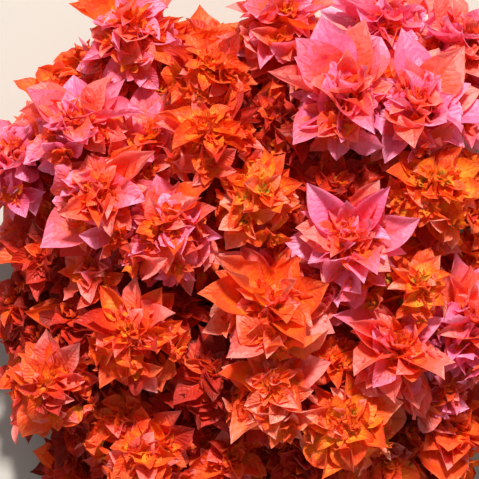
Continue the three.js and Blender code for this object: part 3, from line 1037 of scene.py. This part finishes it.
def bark_material(name, code):
    material, tree = new_material(name)
    normal = bump(tree, noise(tree, *BARK_NOISE), BARK_GRAIN)
    sockets = {"Base Color": linear(code), "Normal": normal, **BARK_SURFACE}
    show(tree, node(tree, "ShaderNodeBsdfPrincipled", sockets))
    return material


END_HOLE = 0.02  # a limb's end is drawn in to this share of its width


# A limb's closed end: rings that shrink to its middle.
def end_grid(ring, steps, bulge):
    middle = ring[:-1].mean(axis=0)
    shrink = np.linspace(1, END_HOLE, steps + 1)
    dome = np.sqrt(np.clip(1 - shrink**2, 0, 1))
    return middle + (ring[None] - middle) * shrink[:, None, None] + bulge * dome[:, None, None]


def add_tip(gather, grid, curve, size, rings):
    gather.add_grid(end_grid(grid[-1], rings, curve.tangents(1)[0] * size["head"]), 0)


PATCH = 3  # faces along and across a patch of one bark colour


def patches(rows, columns, count, dice):
    cells = dice.integers(0, count, (rows // PATCH + 1, columns // PATCH + 1))
    return np.kron(cells, np.ones((PATCH, PATCH), int))[:rows, :columns]


LIMB_LOOKS = {
    "bark_grey": "#7d6a58",
    "bark_brown": "#6b5442",
    "bark_pale": "#94826c",
    "bark_green": "#6f6a45",
    "cut_wood": "#cdb48a",
    "cut_ring": "#b3966a",
    "cut_pith": "#8f7450",
}
# The rings of the cut, from the bark to the pith.
CUT_RINGS = ["bark_brown"] + ["cut_wood", "cut_ring"] * 4 + ["cut_wood", "cut_pith", "cut_pith"]
# A limb's rings, sides and rings in its tip, and how many of the barks it shows. The boughs have
# more rings than these where they are long.
STEM_GRID = {"rings": 220, "sides": 36, "tip": 5, "barks": 3}
BOUGH_GRID = {"rings": 40, "sides": 18, "tip": 4, "barks": 4}


def make_limbs(stem, boughs):
    looks = [bark_material(name, code) for name, code in LIMB_LOOKS.items()]
    dice = np.random.default_rng(SEEDS["limbs"])
    gather = Gather("stem_bark", looks)
    rings, sides = STEM_GRID["rings"], STEM_GRID["sides"]
    grid = tube_grid(stem, bark_radius(STEM, stem.length, dice), rings, sides, STEM_PATH[0][0])
    gather.add_grid(grid, patches(rings, sides, STEM_GRID["barks"], dice))
    cut = end_grid(grid[0], len(CUT_RINGS), np.zeros(3))[:, ::-1]
    gather.add_grid(cut, np.array([list(LIMB_LOOKS).index(name) for name in CUT_RINGS])[:, None])
    add_tip(gather, grid, stem, STEM, STEM_GRID["tip"])
    gather.finish("bark", ["main_stem"])
    for (name, *_), curve in zip(SIDE_BOUGHS, boughs):
        gather = Gather(f"{name}_bark", looks)
        rings, sides = max(BOUGH_GRID["rings"], int(curve.length)), BOUGH_GRID["sides"]
        radius = bark_radius(BOUGH, curve.length, dice, BARK["collar_high"])
        grid = tube_grid(curve, radius, rings, sides)
        gather.add_grid(grid, patches(rings, sides, BOUGH_GRID["barks"], dice))
        add_tip(gather, grid, curve, BOUGH, BOUGH_GRID["tip"])
        gather.finish("bark", [name])


STALK_LOOKS = {"stalk_green": "#7c7a3c", "stalk_red": "#8a4a34"}
STALK_GRID = {"rings": 12, "ring_each": 4, "sides": 8}


# A stalk is as thick all round, so the turns only give the answer its shape.
def stalk_radius(shares, turns):
    return mix((STALK["foot"], STALK["head"]), shares) + 0 * turns


def make_stalks(stalks):
    gather = Gather("bloom_stalks", [bark_material(name, code) for name, code in STALK_LOOKS.items()])
    dice = np.random.default_rng(SEEDS["stalks"])
    for curve in stalks:
        rings = max(STALK_GRID["rings"], int(curve.length / STALK_GRID["ring_each"]))
        grid = tube_grid(curve, stalk_radius, rings, STALK_GRID["sides"])
        gather.add_grid(grid, np.where(dice.uniform(0, 1, (rings, 1)) < 0.5, 0, 1))
    gather.finish("bark")


# Green leaves along the stalks and the boughs, under the blooms: colour, and light let through.
LEAF_LOOKS = {
    "leaf_green": ("#3f6a26", 0.22),
    "leaf_dark": ("#2f5220", 0.22),
    "leaf_pale": ("#6b8a35", 0.25),
}
LEAF_ROUGHNESS = 0.42
LEAF_SHARES = {"stalk": (0.3, 0.52, 0.7), "bough": (0.35, 0.5, 0.62, 0.74, 0.86, 0.97)}
LEAF = {
    "rows": 10, "columns": 6, "ceiling": 46, "length": (24, 36), "broad": 0.6,
    "pitch": (50, 80), "bend": (10, 50), "twist": 0.4, "curl": (0, 30), "wring": 0.3,
    "cup": (0.2, 0.7), "crease": (0.02, 0.15), "ruffle": (0.02, 0.08), "waves": (1, 2),
}


def leaf_at(curve, share, dice):
    way = curve.tangents(share)[0]
    leaf = new_bract(
        way,
        sideways(way, dice.uniform(0, FULL_TURN)),
        pitch=dice.uniform(*LEAF["pitch"]),
        bend=dice.uniform(*LEAF["bend"]),
        twist=either_way(dice, LEAF["twist"]),
        length=dice.uniform(*LEAF["length"]),
        seat=curve.at(share)[0],
        broad=LEAF["broad"],
        curl=math.radians(dice.uniform(*LEAF["curl"])),
        wring=either_way(dice, LEAF["wring"]),
    )
    for key in ("cup", "crease", "ruffle", "waves"):
        leaf[key] = dice.uniform(*LEAF[key])
    leaf["phase"] = dice.uniform(0, 1)
    return leaf


# A leaf is left out where it would reach past the solids' box or up among the blooms.
def make_leaves(stalks, boughs, stem):
    looks = [
        blade_material(name, code, through, LEAF_ROUGHNESS) for name, (code, through) in LEAF_LOOKS.items()
    ]
    gather = Gather("leaves", looks)
    dice = np.random.default_rng(SEEDS["leaves"])
    low, high = np.array(cad_box) / MILLIMETRE + MIDDLE
    for kind, curves in (("stalk", stalks), ("bough", boughs + [stem])):
        for curve in curves:
            for share in LEAF_SHARES[kind]:
                grid = bract_grid(leaf_at(curve, share, dice), LEAF["rows"], LEAF["columns"])
                flat = grid.reshape(-1, 3)
                inside = (flat > low + FLOOR_GAP).all() and (flat < high).all()
                if inside and flat[:, 2].max() < LEAF["ceiling"]:
                    gather.add_grid(grid, int(dice.integers(len(looks))))
    gather.finish("leaf")


# The floor's side and its drop below the bough, in metres, and its looks.
FLOOR = {"side": 6, "drop": 0.0004, "colour": "#a5a39f", "roughness": 0.9}


def make_floor():
    bpy.ops.mesh.primitive_plane_add(size=FLOOR["side"], location=(0, 0, -FLOOR["drop"]))
    floor = bpy.context.object
    floor.name = "floor"
    material, tree = new_material("floor_paint")
    sockets = {"Base Color": linear(FLOOR["colour"]), "Roughness": FLOOR["roughness"]}
    show(tree, node(tree, "ShaderNodeBsdfPrincipled", sockets))
    floor.data.materials.append(material)


# In millimetres: how far the camera is over the blooms' upper side, that side's height, how far up
# the plan it looks, and its sensor's width.
CAMERA = {"away": 900, "plane": 104, "north": 11, "sensor": 36}


def make_camera():
    lens = bpy.data.cameras.new("camera")
    lens.sensor_width = CAMERA["sensor"]
    lens.lens = CAMERA["sensor"] * CAMERA["away"] / (PICTURE * PIXEL)
    camera = new_object("camera", lens)
    centre = (np.array([0, CAMERA["north"], CAMERA["plane"]]) - MIDDLE) * MILLIMETRE
    camera.location = centre + UP * CAMERA["away"] * MILLIMETRE
    bpy.context.scene.camera = camera


# The light all round, and the lamps: name, place and size in metres, power in watts, and colour.
WORLD = {"Color": (1, 0.9, 0.83, 1), "Strength": 0.34}
LAMPS = [
    ("key", (0.15, 2.8, 2.8), 0.5, 400, (1, 0.94, 0.86)),
    ("fill", (-1.2, -0.8, 1.0), 1.4, 5, (0.95, 0.97, 1)),
]
LAMP_TARGET = (-0.03, 0, 0.06)


def make_lights():
    world = bpy.data.worlds.new("studio")
    world.use_nodes = True
    for key, value in WORLD.items():
        world.node_tree.nodes["Background"].inputs[key].default_value = value
    bpy.context.scene.world = world
    for name, place, size, power, colour in LAMPS:
        light = bpy.data.lights.new(name, "AREA")
        light.size = size
        light.energy = power
        light.color = colour
        lamp = new_object(name, light)
        lamp.location = place
        way = Vector(LAMP_TARGET) - Vector(place)
        lamp.rotation_euler = way.to_track_quat("-Z", "Y").to_euler()


def main():
    stem = Curve(STEM_PATH)
    boughs = [bough_curve(row, stem) for row in SIDE_BOUGHS]
    leading = place_blooms()
    blooms = leading + place_under(leading) + raised_rosettes()
    stalks = [stalk_curve(bloom, boughs + [stem]) for bloom in blooms]
    limb_rods = np.concatenate([rods_along(stem, STEM)] + [rods_along(curve, BOUGH) for curve in boughs])
    stalk_rods = [rods_along(curve, STALK) for curve in stalks[: len(leading)]]
    for i, bloom in enumerate(blooms):
        bloom["ways"], bloom["reaches"] = space_of(bloom, leading)
        rods = np.concatenate([limb_rods] + [rods for j, rods in enumerate(stalk_rods) if j != i])
        near = np.linalg.norm(rods[:, :3] - bloom["centre"], axis=1) < bloom["length"] * NEAR
        bloom["rods"] = rods[near]
        bloom["stalk"] = stalks[i]
    make_limbs(stem, boughs)
    make_stalks(stalks)
    make_blooms(blooms)
    make_leaves(stalks, boughs, stem)
    make_floor()
    make_camera()
    make_lights()
    bpy.context.scene.view_settings.view_transform = "Standard"


main()
